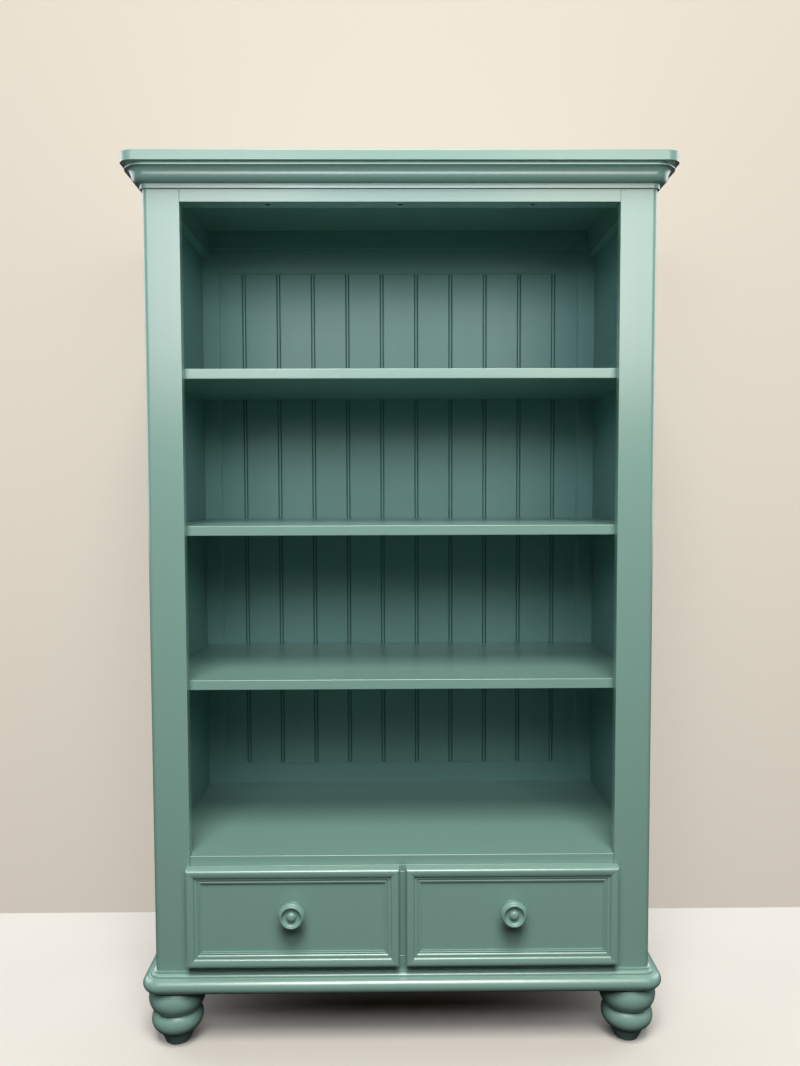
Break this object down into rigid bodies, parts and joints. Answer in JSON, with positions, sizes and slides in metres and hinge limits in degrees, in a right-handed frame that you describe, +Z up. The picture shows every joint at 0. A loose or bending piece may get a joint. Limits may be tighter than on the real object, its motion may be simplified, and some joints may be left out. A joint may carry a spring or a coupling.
{
  "type": "bookcase with bottom drawers",
  "caption": "Tall painted bookcase with fixed shelves, beaded board back, drawers below, moulded crown and plinth, on turned bun feet.",
  "frame": {"origin": "on the floor, under the middle of the overall box", "axes": "+Z up, +X to the right as seen from the front, -Y out of the front, the way the drawers open"},
  "size_m": [0.964, 0.448, 1.595],
  "materials": {
    "paint": "satin sage-green paint on solid wood",
    "bare_wood": "sanded and clear sealed",
    "screws": "zinc plated, painted over at the head"
  },
  "bodies": {
    "cabinet": {"back_boards": "paint", "back_bottom_rail": "paint", "back_middle_rail": "paint", "back_stile_left": "paint", "back_stile_right": "paint", "back_top_rail": "paint", "base_moulding_front": "paint", "base_moulding_left": "paint", "base_moulding_right": "paint", "bay_floor": "paint", "bottom_rail": "paint", "centre_stile": "paint", "cornice_rail": "paint", "crown_front": "paint", "crown_left": "paint", "crown_right": "paint", "drawer_back_panel": "bare_wood", "drawer_floor": "bare_wood", "drawer_guides": "bare_wood", "drawer_partition": "bare_wood", "drawer_rail": "paint", "foot_blocks": "bare_wood", "foot_front_left": "paint", "foot_front_right": "paint", "foot_rear_left": "paint", "foot_rear_right": "paint", "shelf_lower": "paint", "shelf_middle": "paint", "shelf_upper": "paint", "side_panel_left": "paint", "side_panel_right": "paint", "stile_left": "paint", "stile_right": "paint", "top_back_cleat": "paint", "top_board": "paint", "top_rail": "paint", "top_rail_screws": "screws", "top_side_cleats": "paint"},
    "drawer_left": {"drawer_left_box_back": "bare_wood", "drawer_left_box_bottom": "bare_wood", "drawer_left_box_front": "bare_wood", "drawer_left_box_side_inner": "bare_wood", "drawer_left_box_side_outer": "bare_wood", "drawer_left_front_panel": "paint", "drawer_left_knob": "paint", "drawer_left_moulding_bottom": "paint", "drawer_left_moulding_inner": "paint", "drawer_left_moulding_outer": "paint", "drawer_left_moulding_top": "paint"},
    "drawer_right": {"drawer_right_box_back": "bare_wood", "drawer_right_box_bottom": "bare_wood", "drawer_right_box_front": "bare_wood", "drawer_right_box_side_inner": "bare_wood", "drawer_right_box_side_outer": "bare_wood", "drawer_right_front_panel": "paint", "drawer_right_knob": "paint", "drawer_right_moulding_bottom": "paint", "drawer_right_moulding_inner": "paint", "drawer_right_moulding_outer": "paint", "drawer_right_moulding_top": "paint"}
  },
  "joints": [
    {"name": "drawer_left_slide", "type": "slide", "parent": "cabinet", "child": "drawer_left", "axis": [0, -1, 0], "range_m": [0, 0.265]},
    {"name": "drawer_right_slide", "type": "slide", "parent": "cabinet", "child": "drawer_right", "axis": [0, -1, 0], "range_m": [0, 0.265]}
  ]
}
